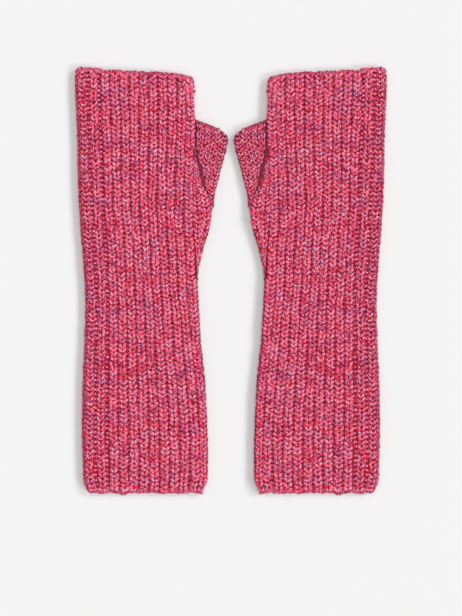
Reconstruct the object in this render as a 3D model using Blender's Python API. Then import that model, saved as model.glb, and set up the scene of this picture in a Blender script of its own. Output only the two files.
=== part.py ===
"""A pair of long fingerless mitts in chunky rib knit, laid flat side by side with the thumbs turned inwards.

Each mitt is a knitted hand tube, open at the fingers and at the cuff, with a short thumb tube sewn to its
inner edge. Pressed flat, a tube is two layers of cloth that meet at its side folds, so each tube is a front
layer and a back layer, parted by a thin slit and by the seam gap at the folds. X runs across the pair, Y runs
from the cuffs to the fingers and Z points up, away from the surface that the backs lie on. The origin is on
that surface, in the middle of the pair. Tables are in millimetres, and what is built is in metres.
"""

import math
from collections import namedtuple

import bmesh
import bpy
from mathutils import Vector

MM = 0.001

# ---------------------------------------------------------------- driving dimensions, in millimetres

MITT_LENGTH = 300.0  # cuff hem to finger hem
SEAM_GAP = 0.3  # clearance between two pieces where they are joined
RIB_COUNT = 10  # raised ribs across the front, beside the plain side band
SIDE_BAND_SHARE = 0.209  # share of the front's width that the plain band along the outer fold takes
EDGE_ROLL = 2.6  # length over which the cloth thins to its rounded hem
HEM_THICKNESS = 0.45  # share of the wall that is left at the very edge of a hem
SLIT_RAMP = 1.0  # how far in from the side walls the slit reaches its full height

# One tube pressed flat: the thickness of each layer's wall, how far the ribs stand up from the front,
# how high the slit between the layers is, and how far in from the fold the tube has rounded over.
Cloth = namedtuple("Cloth", "wall relief slit fold_round")
HAND_CLOTH = Cloth(wall=2.5, relief=1.1, slit=0.8, fold_round=3.6)
THUMB_CLOTH = Cloth(wall=2.1, relief=0.6, slit=0.6, fold_round=2.8)

# The crease where the hand's edge lies against the thumb: height above the cuff hem, and distance from the
# line halfway between the mitts.
CreasePoint = namedtuple("CreasePoint", "height inner")
CREASE = (
    CreasePoint(height=265.0, inner=25.2),
    CreasePoint(height=237.0, inner=23.0),
    CreasePoint(height=216.5, inner=19.5),
    CreasePoint(height=198.0, inner=12.6),
)


def on_crease(height):
    """The crease's distance from the midline at a height, on the straight runs between its points."""
    for above, below in zip(CREASE, CREASE[1:]):
        if below.height <= height <= above.height:
            share = (height - below.height) / (above.height - below.height)
            return below.inner + share * (above.inner - below.inner)
    raise ValueError("the crease has no point at this height")


# The hand tube from cuff to fingers. height: above the cuff hem. outer and inner: the two folds' distances
# from the line halfway between the mitts. gusset: the width beside the inner fold that is let in towards
# the thumb.
HandSection = namedtuple("HandSection", "height outer inner gusset")
HAND = (
    HandSection(height=0.0, outer=101.6, inner=20.4, gusset=1.5),
    HandSection(height=1.2, outer=103.6, inner=18.6, gusset=1.5),
    HandSection(height=3.6, outer=104.7, inner=17.4, gusset=1.5),
    HandSection(height=12.0, outer=105.4, inner=16.4, gusset=1.5),
    HandSection(height=32.0, outer=105.8, inner=16.3, gusset=1.5),
    HandSection(height=55.0, outer=106.0, inner=17.0, gusset=1.5),
    HandSection(height=80.0, outer=105.5, inner=18.4, gusset=1.5),
    HandSection(height=104.0, outer=104.3, inner=20.9, gusset=1.5),
    HandSection(height=128.0, outer=103.5, inner=22.5, gusset=1.5),
    HandSection(height=146.0, outer=104.0, inner=23.7, gusset=1.5),
    HandSection(height=158.0, outer=104.8, inner=23.0, gusset=1.6),
    HandSection(height=171.0, outer=105.8, inner=19.9, gusset=3.4),
    HandSection(height=184.0, outer=106.8, inner=15.9, gusset=7.2),
    HandSection(height=196.0, outer=107.6, inner=13.2, gusset=9.8),
    HandSection(height=200.0, outer=107.9, inner=on_crease(200.0), gusset=9.8),
    HandSection(height=207.0, outer=108.2, inner=on_crease(207.0), gusset=7.4),
    HandSection(height=216.5, outer=108.6, inner=on_crease(216.5), gusset=3.9),
    HandSection(height=225.0, outer=108.9, inner=on_crease(225.0), gusset=2.6),
    HandSection(height=237.0, outer=109.2, inner=on_crease(237.0), gusset=1.8),
    HandSection(height=250.0, outer=109.3, inner=on_crease(250.0), gusset=1.6),
    HandSection(height=265.0, outer=109.9, inner=on_crease(265.0), gusset=1.5),
    HandSection(height=280.0, outer=110.6, inner=26.1, gusset=1.5),
    HandSection(height=293.0, outer=110.8, inner=26.3, gusset=1.5),
    HandSection(height=297.0, outer=110.9, inner=26.9, gusset=1.5),
    HandSection(height=299.0, outer=110.2, inner=27.9, gusset=1.5),
    HandSection(height=300.0, outer=108.6, inner=29.8, gusset=1.5),
)

# Nine ribs are whole and the tenth turns over the inner fold. ninth: the share of the front's width where the
# ninth ends, by height above the cuff hem.
RibSpread = namedtuple("RibSpread", "height ninth")
RIB_SPREAD = (
    RibSpread(height=0.0, ninth=0.961),
    RibSpread(height=50.0, ninth=0.960),
    RibSpread(height=87.0, ninth=0.944),
    RibSpread(height=125.0, ninth=0.940),
    RibSpread(height=150.0, ninth=0.925),
    RibSpread(height=187.0, ninth=0.885),
    RibSpread(height=205.0, ninth=0.877),
    RibSpread(height=225.0, ninth=0.890),
    RibSpread(height=250.0, ninth=0.930),
    RibSpread(height=275.0, ninth=0.960),
    RibSpread(height=300.0, ninth=0.966),
)

# The finger hem isn't square: how far it drops, by share of the width from the outer fold to the inner one.
HemPoint = namedtuple("HemPoint", "share drop")
FINGER_HEM = (
    HemPoint(share=0.0, drop=0.6),
    HemPoint(share=0.05, drop=0.0),
    HemPoint(share=0.18, drop=0.4),
    HemPoint(share=0.22, drop=1.6),
    HemPoint(share=0.85, drop=3.0),
    HemPoint(share=1.0, drop=5.0),
)
HEM_REACH = 22.0  # how far below the finger hem its slope still shows

# The thumb tube from its tip, low on the hand's edge, to its opening. outer: its fold's distance from the
# line halfway between the mitts.
ThumbSection = namedtuple("ThumbSection", "height outer")
THUMB = (
    ThumbSection(height=200.8, outer=12.5),
    ThumbSection(height=203.0, outer=12.1),
    ThumbSection(height=211.0, outer=11.9),
    ThumbSection(height=218.0, outer=9.9),
    ThumbSection(height=228.0, outer=7.5),
    ThumbSection(height=237.0, outer=5.0),
    ThumbSection(height=244.0, outer=2.9),
    ThumbSection(height=250.0, outer=2.1),
    ThumbSection(height=252.6, outer=2.4),
    ThumbSection(height=253.8, outer=3.4),
)
THUMB_REACH = 30.0  # how far the thumb's cloth runs in from its outer fold before the crease cuts it off
THUMB_RIB_PITCH = 5.0
THUMB_HEM_RISE = 0.42  # how much the thumb's opening rises per millimetre towards the hand

KNIT_COLOURS = {
    "rib_knit": (0.53, 0.09, 0.15, 1.0),
    "back_knit": (0.48, 0.08, 0.13, 1.0),
    "thumb_knit": (0.50, 0.08, 0.14, 1.0),
}
KNIT_ROUGHNESS = 0.9


# ---------------------------------------------------------------- shared rules


def clear_scene():
    for old in list(bpy.data.objects):
        bpy.data.objects.remove(old, do_unlink=True)


def rounded(distance, reach):
    """Rises from 0 at an edge to 1 at reach, as a quarter ellipse does."""
    left = max(0.0, 1.0 - distance / reach)
    return math.sqrt(1.0 - left * left)


def from_table(table, column, value, at):
    """Reads column at from a table that is sorted by column value, on straight runs between its rows."""
    for low, high in zip(table, table[1:]):
        start, end = getattr(low, column), getattr(high, column)
        if start <= value <= end:
            share = (value - start) / (end - start)
            return getattr(low, at) + share * (getattr(high, at) - getattr(low, at))
    raise ValueError("the table has no row at this value")


def levels(cloth):
    """Heights above the surface of a flat tube's folds, slit floor, slit roof and front gutters."""
    slit_floor = cloth.wall
    slit_roof = cloth.wall + cloth.slit
    return slit_floor + cloth.slit / 2, slit_floor, slit_roof, slit_roof + cloth.wall


def spread(count):
    """Shares from 0 to 1 at even steps."""
    return [step / count for step in range(count + 1)]


# Where a section has its points on the way in from a fold, as shares of the stretch that is rounded over.
FOLD_SHARES = (0.0, 0.12, 0.45)


# ---------------------------------------------------------------- the front's ribs, as shares of one rib

# Each rib rises from its gutter over two shoulders and a crown.
RIB_PROFILE = ((0.0, 0.0), (0.22, 0.85), (0.5, 1.0), (0.78, 0.85))
# The side band is a low, nearly flat stretch with one narrow column of stitches beside its seam.
BAND_PROFILE = ((0.16, 0.35), (0.4, 0.5), (0.62, 0.3), (0.82, 0.6))


def rib_gutters(height):
    """Shares of the ribbed width where the ribs meet, from the side band's seam to the last rib's far side."""
    ninth = from_table(RIB_SPREAD, "height", height, "ninth")
    pitch = (ninth - SIDE_BAND_SHARE) / (RIB_COUNT - 1)
    return [SIDE_BAND_SHARE + rib * pitch for rib in range(RIB_COUNT)] + [1.0]


def hand_columns(height):
    """Shares of the ribbed width and the relief there, from the outer fold to the last rib's far gutter."""
    columns = [(share * SIDE_BAND_SHARE, relief) for share, relief in BAND_PROFILE]
    gutters = rib_gutters(height)
    for start, end in zip(gutters, gutters[1:]):
        columns += [(start + share * (end - start), relief) for share, relief in RIB_PROFILE]
    return columns + [(1.0, 0.0)]


# The let-in width beside the inner fold is half a rib more, then it falls to the fold.
GUSSET_PROFILE = ((0.3, 0.6), (0.6, 0.5))


# ---------------------------------------------------------------- building a layer from its rings


def lofted(rings, side):
    """Joins closed rings into one layer of cloth. side is -1 for the left mitt and 1 for the right one."""
    shell = bmesh.new()
    loops = []
    for ring in rings:
        places = [Vector((side * x, y - MITT_LENGTH / 2, z)) * MM for x, y, z in ring]
        loops.append([shell.verts.new(place) for place in places])
    for below, above in zip(loops, loops[1:]):
        for here in range(len(below)):
            beside = (here + 1) % len(below)
            shell.faces.new((below[here], below[beside], above[beside], above[here]))
    shell.faces.new(loops[0])
    shell.faces.new(loops[-1])
    return shell


def finished(name, shell, material):
    """Turns a closed layer into an object, smooth but for its sharp edges."""
    bmesh.ops.recalc_face_normals(shell, faces=shell.faces)
    mesh = bpy.data.meshes.new(name)
    shell.to_mesh(mesh)
    shell.free()
    mesh.materials.append(material)
    mesh.shade_smooth()
    mesh.set_sharp_from_angle(angle=math.radians(45))
    return bpy.data.objects.new(name, mesh)


def knit_material(name):
    material = bpy.data.materials.new(name)
    material.use_nodes = True
    shader = material.node_tree.nodes["Principled BSDF"]
    shader.inputs["Base Color"].default_value = KNIT_COLOURS[name]
    shader.inputs["Roughness"].default_value = KNIT_ROUGHNESS
    shader.inputs["Metallic"].default_value = 0.0
    return material


# ---------------------------------------------------------------- the hand tube


def hand_hem_drop(section, x):
    """How far a point sits below its section's height, because the finger hem slopes."""
    below_hem = MITT_LENGTH - section.height
    if below_hem >= HEM_REACH:
        return 0.0
    share = (section.outer - x) / (section.outer - section.inner)
    drop = from_table(FINGER_HEM, "share", min(1.0, max(0.0, share)), "drop")
    return drop * (1.0 - below_hem / HEM_REACH)


def hem_thinning(distance):
    """The share of its thickness that a layer keeps at this distance from a hem."""
    return HEM_THICKNESS + (1.0 - HEM_THICKNESS) * rounded(distance, EDGE_ROLL)


def hand_front_ring(section):
    """One closed section of the front layer: over the ribs, and back along its plain inside."""
    fold, _, slit_roof, gutter = levels(HAND_CLOTH)
    wall_foot = fold + SEAM_GAP / 2
    thin = hem_thinning(min(section.height, MITT_LENGTH - section.height))
    width = section.outer - section.inner
    ribbed = width - section.gusset
    over = [(share * HAND_CLOTH.fold_round, 0.0) for share in FOLD_SHARES]
    over += [(share * ribbed, relief) for share, relief in hand_columns(section.height)]
    over += [(ribbed + share * section.gusset, relief) for share, relief in GUSSET_PROFILE]
    ring = []
    for across, relief in over:
        rise = rounded(min(across, width - across), HAND_CLOTH.fold_round)
        z = wall_foot + (gutter - wall_foot + relief * HAND_CLOTH.relief) * rise
        ring.append((section.outer - across, wall_foot + (z - wall_foot) * thin))
    ring.append((section.inner, wall_foot))
    ring += slit_side(section.inner, section.outer, wall_foot, slit_roof, HAND_CLOTH)
    return [(x, section.height - hand_hem_drop(section, x), z) for x, z in ring]


def slit_side(start, end, wall_foot, slit_level, cloth):
    """The plain inside of a layer, from the fold at start to the one at end: wall foot, slit, wall foot."""
    way = math.copysign(1.0, end - start)
    width = abs(end - start)
    points = [(start + way * cloth.wall, wall_foot)]
    for share in spread(4):
        across = cloth.wall + SLIT_RAMP + share * (width - 2 * (cloth.wall + SLIT_RAMP))
        points.append((start + way * across, slit_level))
    points.append((end - way * cloth.wall, wall_foot))
    return points


def hand_back_ring(section):
    """One closed section of the back layer: along its flat underside, and back along the slit."""
    fold, slit_floor, _, _ = levels(HAND_CLOTH)
    wall_foot = fold - SEAM_GAP / 2
    lift = wall_foot * (1.0 - hem_thinning(min(section.height, MITT_LENGTH - section.height)))
    width = section.outer - section.inner
    reach = HAND_CLOTH.fold_round
    rounds = [share * reach for share in FOLD_SHARES]
    under = rounds + [reach + share * (width - 2 * reach) for share in spread(6)]
    under += [width - across for across in reversed(rounds)]
    ring = []
    for across in under:
        rise = rounded(min(across, width - across), HAND_CLOTH.fold_round)
        ring.append((section.outer - across, max(wall_foot * (1.0 - rise), lift * rise)))
    ring += slit_side(section.inner, section.outer, wall_foot, slit_floor, HAND_CLOTH)
    return [(x, section.height - hand_hem_drop(section, x), z) for x, z in ring]


# ---------------------------------------------------------------- the thumb tube


def thumb_columns():
    """Distances in from the outer fold and the relief there, over the fold and then rib by rib."""
    columns = [(share * THUMB_CLOTH.fold_round, 0.0) for share in FOLD_SHARES]
    for rib in range(int(THUMB_REACH / THUMB_RIB_PITCH)):
        ridge = [(rib + share, relief) for share, relief in RIB_PROFILE if rib + share > 0.4]
        columns += [(ribs_in * THUMB_RIB_PITCH, relief) for ribs_in, relief in ridge]
    return columns + [(THUMB_REACH, 0.0)]


def thumb_ring(section, front):
    """One closed section of a thumb layer, from its outer fold to past the crease that cuts it off."""
    fold, slit_floor, slit_roof, gutter = levels(THUMB_CLOTH)
    wall_foot = fold + (SEAM_GAP / 2 if front else -SEAM_GAP / 2)
    below_hem = THUMB[-1].height - section.height
    thin = hem_thinning(below_hem)
    ring = []
    for across, relief in thumb_columns():
        rise = rounded(across, THUMB_CLOTH.fold_round)
        if front:
            z = wall_foot + (gutter - wall_foot + relief * THUMB_CLOTH.relief) * rise * thin
        else:
            z = max(wall_foot * (1.0 - rise), wall_foot * (1.0 - thin) * rise)
        ring.append((across, z))
    slit = slit_roof if front else slit_floor
    ring += [(THUMB_REACH, slit), (THUMB_CLOTH.wall + SLIT_RAMP, slit), (THUMB_CLOTH.wall, wall_foot)]
    near_hem = max(0.0, 1.0 - below_hem / HEM_REACH)
    return [(section.outer + a, section.height + a * THUMB_HEM_RISE * near_hem, z) for a, z in ring]


def cut_along_crease(shell, side):
    """Cuts a thumb layer off a seam gap short of the hand's edge, one plane for each run of the crease."""
    for above, below in zip(CREASE, CREASE[1:]):
        run = Vector((side * (above.inner - below.inner), above.height - below.height, 0.0)).normalized()
        towards_hand = Vector((side * run.y, -side * run.x, 0.0))
        on_plane = Vector((side * below.inner, below.height - MITT_LENGTH / 2, 0.0)) - towards_hand * SEAM_GAP
        bmesh.ops.bisect_plane(
            shell,
            geom=shell.verts[:] + shell.edges[:] + shell.faces[:],
            plane_co=on_plane * MM,
            plane_no=towards_hand,
            dist=1e-7,
            clear_outer=True,
        )
        cut = [edge for edge in shell.edges if edge.is_boundary]
        bmesh.ops.contextual_create(shell, geom=cut)


# ---------------------------------------------------------------- the pair


def build_mitt(mitt, side, materials):
    """The four layers of one mitt."""
    front = lofted([hand_front_ring(section) for section in HAND], side)
    back = lofted([hand_back_ring(section) for section in HAND], side)
    layers = [finished(mitt + "_hand_front", front, materials["rib_knit"])]
    layers.append(finished(mitt + "_hand_back", back, materials["back_knit"]))
    for layer in ("front", "back"):
        thumb = lofted([thumb_ring(section, layer == "front") for section in THUMB], side)
        cut_along_crease(thumb, side)
        layers.append(finished(f"{mitt}_thumb_{layer}", thumb, materials["thumb_knit"]))
    return layers


def build_pair():
    clear_scene()
    pair = bpy.data.collections.new("fingerless_mitts")
    bpy.context.scene.collection.children.link(pair)
    materials = {name: knit_material(name) for name in KNIT_COLOURS}
    for mitt, side in (("left", -1), ("right", 1)):
        for layer in build_mitt(mitt, side, materials):
            pair.objects.link(layer)


build_pair()
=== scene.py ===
# %% [markdown]
# # A pair of long fingerless mitts in chunky rib knit
#
# Each mitt is a knitted tube pressed flat, open at the fingers and at the cuff, with a short thumb tube on
# its inner edge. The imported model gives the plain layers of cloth. This lesson dresses them: a thin cloth
# with soft folds lies on their form, and on it sits every knit stitch that shows, made of marled wool.
#
# Lengths are in millimetres until a mesh is made. A place on a mitt is written as (out, height, lift): out
# is the distance from the line halfway between the mitts, height is measured up from the cuff hem, and lift
# up from the surface. Everything is made for the right mitt, and the left one is its mirror image.

import math

import bmesh
import bpy
import numpy as np
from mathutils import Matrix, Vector
from mathutils.bvhtree import BVHTree


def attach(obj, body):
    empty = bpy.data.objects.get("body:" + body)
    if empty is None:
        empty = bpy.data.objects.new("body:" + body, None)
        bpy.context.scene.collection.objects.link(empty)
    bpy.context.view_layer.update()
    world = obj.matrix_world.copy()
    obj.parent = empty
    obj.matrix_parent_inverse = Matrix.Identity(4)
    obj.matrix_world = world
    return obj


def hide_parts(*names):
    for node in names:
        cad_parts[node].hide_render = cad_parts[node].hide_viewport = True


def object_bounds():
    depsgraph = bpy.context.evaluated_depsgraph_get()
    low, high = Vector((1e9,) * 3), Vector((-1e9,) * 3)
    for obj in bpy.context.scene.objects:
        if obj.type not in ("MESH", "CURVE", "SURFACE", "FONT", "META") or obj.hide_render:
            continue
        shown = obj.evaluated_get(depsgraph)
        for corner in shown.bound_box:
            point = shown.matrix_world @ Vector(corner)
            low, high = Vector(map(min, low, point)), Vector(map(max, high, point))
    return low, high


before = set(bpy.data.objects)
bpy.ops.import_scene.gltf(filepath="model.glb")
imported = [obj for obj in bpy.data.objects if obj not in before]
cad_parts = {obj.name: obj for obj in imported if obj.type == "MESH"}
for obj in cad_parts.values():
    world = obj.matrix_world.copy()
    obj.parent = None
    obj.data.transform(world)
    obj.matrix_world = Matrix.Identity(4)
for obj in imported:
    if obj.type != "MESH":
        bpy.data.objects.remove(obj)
cad_low, cad_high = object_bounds()

MM = 0.001
print("nodes:", sorted(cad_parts))

# %% [markdown]
# ## The camera and the light
#
# The photograph looks straight down at the flat mitts with hardly any perspective, so a long lens a metre
# and a half away suits it. A long soft light low over the right-hand side leaves the narrow shadow beside
# each mitt. Two suns stand for its two ends, so a little shadow falls past the hems as well. An even white
# sky fills the rest, as the walls of a bright studio would. The floor is plain and pale.

# %% Camera, floor and lights
PHOTO_TALL = 616
MM_PER_PIXEL = 0.7092
PHOTO_MIDDLE_HEIGHT = 130.5  # the height above the cuff hem at the middle of the photograph
CUFF_Y = cad_low.y / MM
CAMERA_LIFT = 1500.0
SENSOR = 36.0

camera = bpy.data.objects.new("camera", bpy.data.cameras.new("camera"))
camera.location = Vector((0.0, CUFF_Y + PHOTO_MIDDLE_HEIGHT, CAMERA_LIFT)) * MM
camera.data.sensor_width = SENSOR
camera.data.lens = SENSOR * CAMERA_LIFT / (PHOTO_TALL * MM_PER_PIXEL)
bpy.context.scene.collection.objects.link(camera)
bpy.context.scene.camera = camera


def add_sun(name, comes_from, energy, softness):
    """A far light. softness is the angle that it seems to span, in degrees."""
    sun = bpy.data.objects.new(name, bpy.data.lights.new(name, "SUN"))
    sun.data.energy = energy
    sun.data.angle = math.radians(softness)
    sun.rotation_mode = "QUATERNION"
    sun.rotation_quaternion = Vector(comes_from).to_track_quat("Z", "Y")
    bpy.context.scene.collection.objects.link(sun)


add_sun("key light, cuff end", comes_from=(0.76, -0.34, 0.62), energy=0.93, softness=18.0)
add_sun("key light, finger end", comes_from=(0.76, 0.34, 0.62), energy=0.93, softness=18.0)
add_sun("overhead fill", comes_from=(0.05, 0.05, 1.0), energy=0.98, softness=35.0)

sky = bpy.data.worlds.new("sky")
sky.use_nodes = True
sky.node_tree.nodes["Background"].inputs["Color"].default_value = (1.0, 1.0, 1.0, 1.0)
sky.node_tree.nodes["Background"].inputs["Strength"].default_value = 0.40
bpy.context.scene.world = sky
bpy.context.scene.view_settings.view_transform = "Standard"

bpy.ops.mesh.primitive_plane_add(size=40.0, location=(0.0, 0.0, -0.00005))
floor = bpy.context.object
floor.name = "floor"
paper = bpy.data.materials.new("pale paper")
paper.use_nodes = True
paper.node_tree.nodes["Principled BSDF"].inputs["Base Color"].default_value = (0.86, 0.86, 0.86, 1.0)
paper.node_tree.nodes["Principled BSDF"].inputs["Roughness"].default_value = 0.9
floor.data.materials.append(paper)
print("lens:", round(camera.data.lens, 1), "mm")

# %% [markdown]
# ## Reading the outline off the frame
#
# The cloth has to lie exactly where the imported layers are. Their sizes could be typed in again, but rays
# cast at the front layers find the same outline and stay right if the frame changes. Rays from the sides
# find the folds, and rays along the mitt find the hems, which slope and round off at their corners.

# %% The hand's folds and hems
FAR = 200.0
HAND_READING_LIFT = 3.4  # just above the folds
READ_FROM, READ_TO = 2.5, 291.0  # higher up, a ray from the side would pass over the sloping finger hem
READINGS_UP, READINGS_ACROSS = 145, 80

# The seam with the thumb draws the hand's inner fold in, by this much at these heights.
DRAWN_HEIGHTS = (212.0, 219.0, 256.0, 266.0)
DRAWN_IN = (0.0, 1.4, 1.4, 0.4)


def finder_of(node):
    """Something that rays can be cast at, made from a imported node."""
    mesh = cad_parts[node].data
    points = [corner.co for corner in mesh.vertices]
    return BVHTree.FromPolygons(points, [face.vertices[:] for face in mesh.polygons])


def reading(finder, start, towards):
    """The first place where a ray meets a layer, in millimetres."""
    return finder.ray_cast(Vector(start) * MM, Vector(towards))[0] / MM


def fold_readings(finder, heights, lift, start, way, passes):
    """How far out a fold lies at each height, with the corners between straight runs rounded off."""
    values = np.array([reading(finder, (start, CUFF_Y + height, lift), (way, 0, 0)).x for height in heights])
    for _ in range(passes):
        padded = np.concatenate([values[:1], values, values[-1:]])
        values = (padded[:-2] + 2.0 * padded[1:-1] + padded[2:]) / 4.0
    return values


def hem_readings(finder, outs, lift, way):
    """The height of the finger hem (way -1) or of the cuff hem (way 1) at distances from the midline."""
    return np.array([reading(finder, (out, -way * FAR, lift), (0, way, 0)).y for out in outs]) - CUFF_Y


hand_finder = finder_of("right_hand_front")
read_heights = np.linspace(READ_FROM, READ_TO, READINGS_UP)
outer_read = fold_readings(hand_finder, read_heights, HAND_READING_LIFT, FAR, -1, 3)
inner_read = fold_readings(hand_finder, read_heights, HAND_READING_LIFT, 0.0, 1, 3)


def folds(height):
    """The outer and the inner fold's distance from the midline at a height."""
    return np.interp(height, read_heights, outer_read), np.interp(height, read_heights, inner_read)


def drawn_in(height):
    return np.interp(height, DRAWN_HEIGHTS, DRAWN_IN)


def crease_line(height):
    """Where the drawn-in fold lies, with the thumb's cloth beside it."""
    return folds(height)[1] + drawn_in(height)


read_shares = np.linspace(0.008, 0.992, READINGS_ACROSS)
finger_outs = outer_read[-1] + read_shares * (inner_read[-1] - outer_read[-1])
cuff_outs = outer_read[0] + read_shares * (inner_read[0] - outer_read[0])
finger_hem = hem_readings(hand_finder, finger_outs, HAND_READING_LIFT, -1)
cuff_hem = hem_readings(hand_finder, cuff_outs, HAND_READING_LIFT, 1)
HAND_LENGTH = (finger_hem - cuff_hem)[READINGS_ACROSS // 2]
print("hand width at cuff and fingers:", (outer_read - inner_read)[[0, -1]].round(1))

# %% [markdown]
# The thumb tapers to a point where it leaves the hand, and its opening slopes. So its places are read from
# its outer fold inwards, and the opening is a straight line through a few readings.

# %% The thumb's fold and opening
thumb_finder = finder_of("right_thumb_front")
THUMB_READING_LIFT = 2.8
THUMB_TIP, THUMB_READ_TO = 201.2, 253.6  # from its point to just below the opening's outer corner
thumb_heights = np.linspace(THUMB_TIP, THUMB_READ_TO, 62)
thumb_fold = fold_readings(thumb_finder, thumb_heights, THUMB_READING_LIFT, 0.0, 1, 4)
mouth_outs = np.linspace(5.0, 21.0, 9)
mouth = hem_readings(thumb_finder, mouth_outs, THUMB_READING_LIFT, -1)
MOUTH_SLOPE, mouth_start = np.polyfit(mouth_outs, mouth, 1)
THUMB_HEM = mouth_start + MOUTH_SLOPE * thumb_fold[-1]
print("thumb opening at its fold:", round(THUMB_HEM, 1), "slope:", round(MOUTH_SLOPE, 2))

# %% [markdown]
# ## How the knit is laid out
#
# Across the front, the knit runs in columns of V-shaped stitches. From the outer fold inwards come a rim
# column, a flat column, a purl furrow, a neat plain column, a seam, and then the ribs: nine whole ones and a
# tenth that turns over the inner fold. Beside the thumb two more columns fan out. The columns' borders are
# worked out at each height, because the ribs draw in at the wrist as the whole mitt does.

# %% Borders of the columns
WHOLE_RIBS = 9
RIM, FLAT, FURROW, PLAIN, SEAM, FIRST_RIB = range(6)
LAST_RIB = FIRST_RIB + WHOLE_RIBS
GUSSET_COLUMNS = (LAST_RIB + 1, LAST_RIB + 2)
BAND_BORDERS = (0.0, 0.12, 0.40, 0.55, 0.86, 1.0)  # shares of the side band, from the outer fold in
SIDE_BAND_SHARE = 0.209
WIDEST_TENTH = 1.12  # the tenth rib's width at most, as a share of the others'
GUSSET_MARGIN = 1.5
GUSSET_FADE = 3.0  # wider than the margin by this, the two columns take the tenth rib off the fold
GUSSET_SPLIT = 0.56
GUSSET_HEIGHTS = (0, 158, 171, 184, 196, 200, 207, 216.5, 225, 237, 250, 265, 300)
GUSSET_WIDTHS = (1.5, 1.6, 3.4, 7.2, 9.8, 9.8, 7.4, 3.9, 2.6, 1.8, 1.6, 1.5, 1.5)
SPREAD_HEIGHTS = (0, 50, 87, 125, 150, 187, 205, 225, 250, 275, 300)
NINTH_SHARES = (0.961, 0.960, 0.944, 0.940, 0.925, 0.885, 0.877, 0.890, 0.930, 0.960, 0.966)
MID_HEIGHT = np.array([150.0])


def front_borders(height):
    """Borders of the front's columns from the outer fold in, as shares of the width, one row a height."""
    outer, inner = folds(height)
    width = outer - inner
    gusset = np.interp(height, GUSSET_HEIGHTS, GUSSET_WIDTHS)
    ribbed = width - gusset
    band = SIDE_BAND_SHARE * ribbed
    pitch = (np.interp(height, SPREAD_HEIGHTS, NINTH_SHARES) * ribbed - band) / WHOLE_RIBS
    borders = [share * band for share in BAND_BORDERS]
    borders += [band + rib * pitch for rib in range(1, WHOLE_RIBS + 1)]
    # The tenth rib runs on over the fold, except where the let-in columns come between them.
    rolled = GUSSET_MARGIN * np.clip(1.0 - (gusset - GUSSET_MARGIN) / GUSSET_FADE, 0.0, 1.0)
    ninth_end = band + WHOLE_RIBS * pitch
    tenth_end = np.minimum(width - gusset + rolled, ninth_end + WIDEST_TENTH * pitch)
    borders += [tenth_end, tenth_end + GUSSET_SPLIT * (width - tenth_end), width]
    return np.stack(borders, axis=-1) / width[..., None]


print("front borders at mid height:", np.round(front_borders(MID_HEIGHT), 3))

# %% [markdown]
# The underside could repeat the front's columns, but it lies on the table and even ribs are enough. The
# thumb's columns run straight up beside its fold, and the seam with the hand cuts them off one by one, so
# their borders end where the crease begins.

# %% Borders on the underside and on the thumb
BACK_RIBS = 12
BACK_EDGE = 3.2  # width of the column under each fold


def back_borders(height):
    """Borders of the underside's columns: one under each fold and even ribs between them."""
    outer, inner = folds(height)
    width = outer - inner
    pitch = (width - 2 * BACK_EDGE) / BACK_RIBS
    borders = [np.zeros_like(width)]
    borders += [BACK_EDGE + rib * pitch for rib in range(BACK_RIBS + 1)] + [width]
    return np.stack(borders, axis=-1) / width[..., None]


THUMB_SPAN = 26.0
THUMB_EDGES = (0.2, 4.4, 9.0, 13.6, 18.2, 22.8)
TIP_END = 209.0  # up to here the crease is part of the thumb's edge
CREASE_HEIGHTS = (TIP_END, 217.0, 228.0, 236.0, 263.0)
CREASE_WIDTHS = (1.5, 2.7, 2.8, 1.9, 1.8)  # the groove is widest where the thumb's cloth turns in
UNDER_CREASE = 0.4  # the underside is pressed flat, so there is hardly a groove


def crease_width(height):
    return np.interp(height, CREASE_HEIGHTS, CREASE_WIDTHS)


def beside_thumb(height):
    """The room between the thumb's outer fold and the crease line."""
    return crease_line(height) - np.interp(height, thumb_heights, thumb_fold)


def cut_borders(height, crease):
    """Borders of the thumb's columns, as shares of its cloth's span, cut off where the crease begins."""
    room = crease_line(height) - crease - np.interp(height, thumb_heights, thumb_fold)
    return np.minimum(np.array(THUMB_EDGES), room[:, None]) / THUMB_SPAN


def thumb_borders(height):
    return cut_borders(height, crease_width(height))


def thumb_under_borders(height):
    return cut_borders(height, UNDER_CREASE)


print("room beside the thumb's opening:", round(beside_thumb(THUMB_HEM), 1), "mm")

# %% [markdown]
# ## The lie of the cloth
#
# A flat tube isn't a board. At its folds the cloth rolls over, at its hems it thins to a rounded edge, and
# between them it lies in soft troughs where it was last gathered: beside the thumb, across the wrist and near
# the cuff. The troughs are listed one by one, each with its own length, depth and slant. The underside has
# none of them, because it is pressed flat by the surface.

# %% Troughs and waves
NOMINAL_WIDE, NOMINAL_LONG = 85.0, 295.0  # the mitt's rough size, which turns millimetres into shares
HEM_WAVES = ((0.28, 2.3), (0.22, 5.1), (0.12, 0.9))  # each wave's height, and how slowly it turns

# Middle of the trough (out, height), its half length, half width, slant in degrees and depth.
TROUGHS = (
    (33.0, 214.0, 34.0, 5.0, 62.0, 0.45),
    (44.0, 186.0, 26.0, 6.0, 28.0, 0.35),
    (70.0, 236.0, 40.0, 9.0, 78.0, 0.28),
    (52.0, 143.0, 30.0, 6.0, 12.0, 0.40),
    (86.0, 128.0, 22.0, 5.0, -16.0, 0.36),
    (78.0, 96.0, 34.0, 8.0, 66.0, 0.25),
    (38.0, 74.0, 28.0, 7.0, -40.0, 0.30),
    (63.0, 38.0, 36.0, 9.0, 8.0, 0.26),
    (90.0, 276.0, 20.0, 6.0, -30.0, 0.30),
    (50.0, 268.0, 24.0, 7.0, 20.0, 0.24),
)


def rounded(distance, reach):
    """Rises from 0 at an edge to 1 at reach, as a quarter ellipse does."""
    return np.sqrt(1.0 - np.clip(1.0 - distance / reach, 0.0, 1.0) ** 2)


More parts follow.
